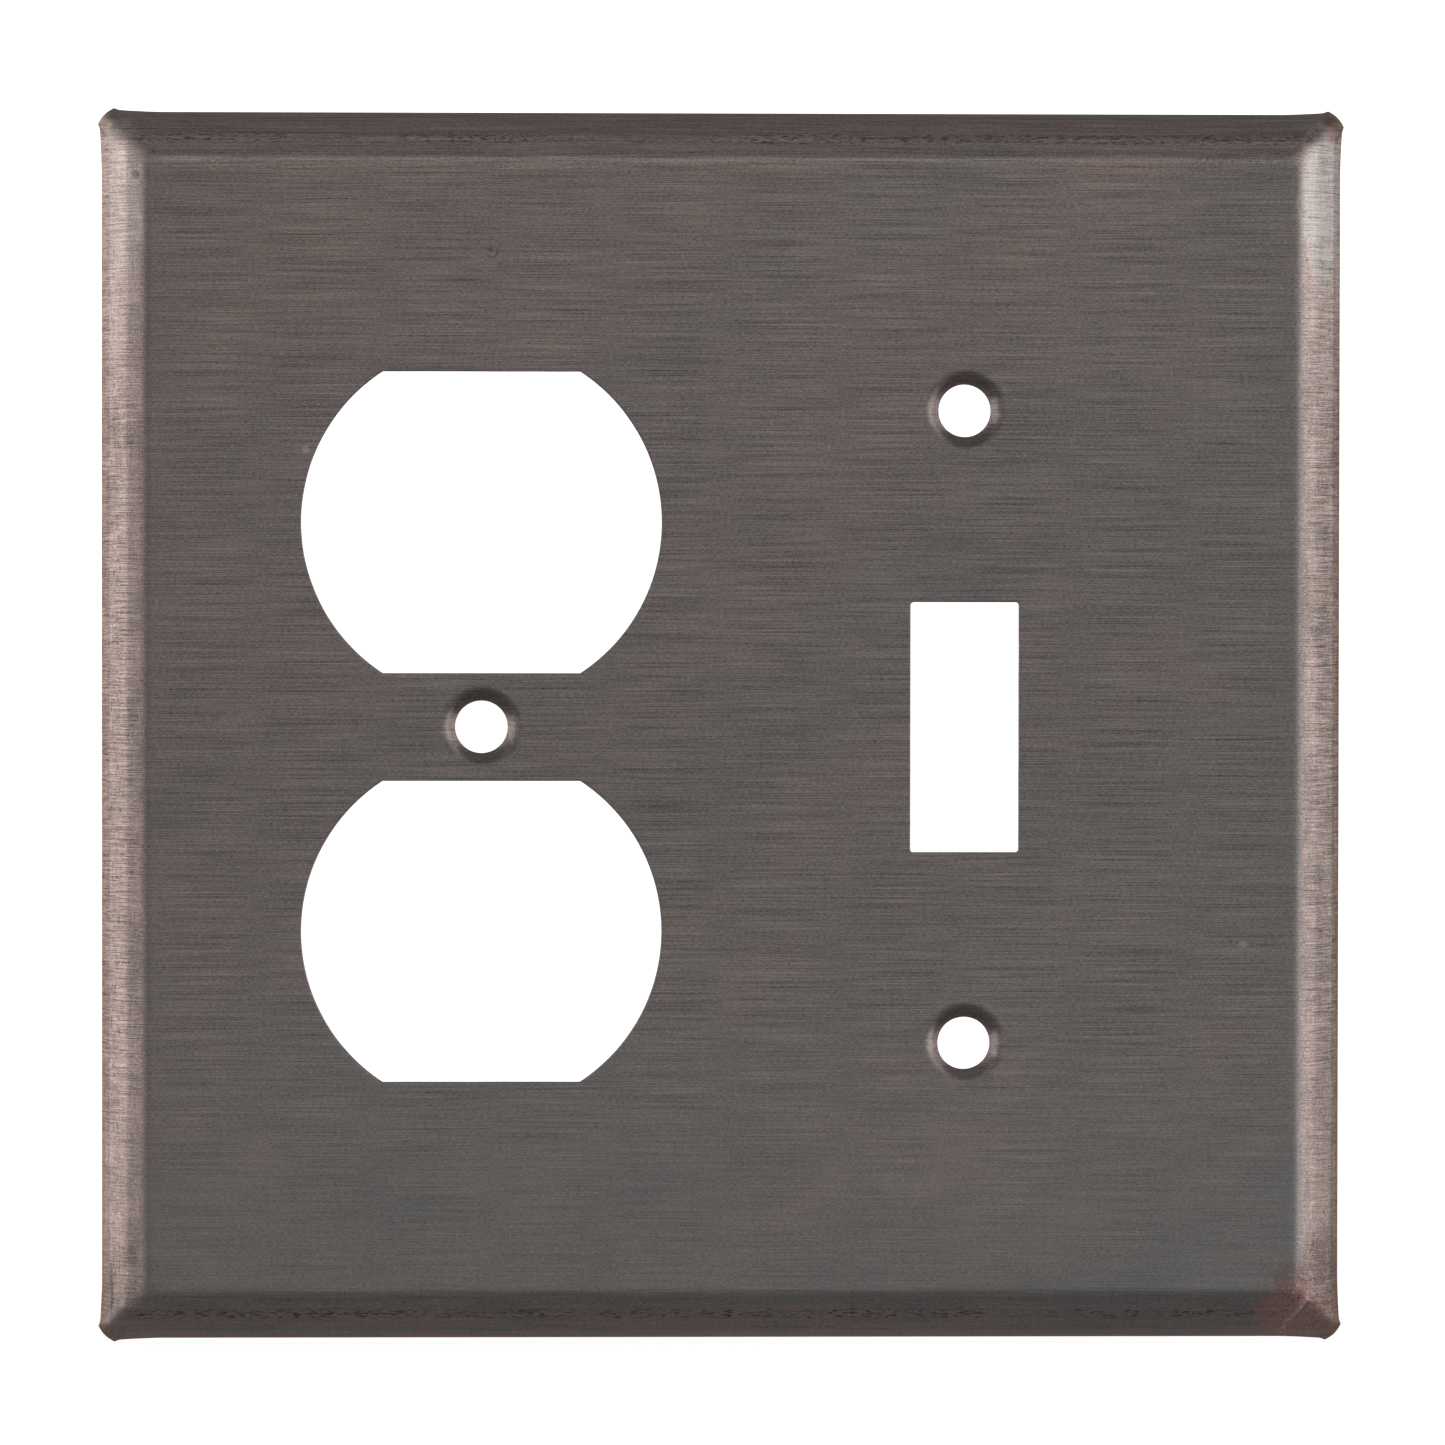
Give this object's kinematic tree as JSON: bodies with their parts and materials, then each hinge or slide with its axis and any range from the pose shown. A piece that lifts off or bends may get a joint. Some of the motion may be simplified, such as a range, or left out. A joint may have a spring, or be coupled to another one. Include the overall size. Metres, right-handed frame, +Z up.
{
  "type": "wall plate",
  "caption": "Stamped metal wall plate with a sloped rim, for a duplex receptacle beside a toggle switch.",
  "frame": {"origin": "centre of the plate on the wall plane, which the back edge of the rim rests on", "axes": "+X to the right and +Z up as seen from the room, +Y back into the wall; the face looks along -Y"},
  "size_m": [0.1194, 0.0055, 0.1182],
  "materials": {
    "dark_bronze_sheet": "dark bronze patina on copper-coloured sheet, brushed across, rubbed bare along the rim"
  },
  "bodies": {
    "root": {"cover_plate": "dark_bronze_sheet"}
  },
  "joints": []
}
